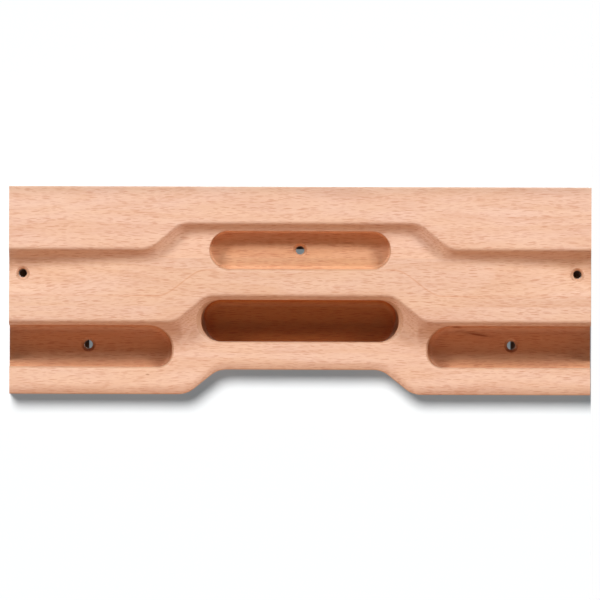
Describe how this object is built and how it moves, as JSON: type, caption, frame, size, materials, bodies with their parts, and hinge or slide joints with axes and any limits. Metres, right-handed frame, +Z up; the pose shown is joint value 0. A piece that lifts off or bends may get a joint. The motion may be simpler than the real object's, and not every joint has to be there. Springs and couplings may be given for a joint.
{
  "type": "hangboard",
  "caption": "Wooden hangboard milled from a glued blank, with stepped tiers, a deepening finger recess, round-ended finger pockets and countersunk screw holes.",
  "frame": {"origin": "middle of the flat back face, on the wall", "axes": "+X to the right along the board, +Y into the wall, +Z up; the tiers and pockets face -Y"},
  "size_m": [0.58, 0.06, 0.207],
  "materials": {
    "top_stave": "sanded",
    "upper_stave": "sanded",
    "middle_stave": "sanded",
    "lower_stave": "sanded",
    "bottom_stave": "sanded"
  },
  "bodies": {
    "root": {"top_stave": "top_stave", "upper_stave": "upper_stave", "middle_stave": "middle_stave", "lower_stave": "lower_stave", "bottom_stave": "bottom_stave"}
  },
  "joints": []
}
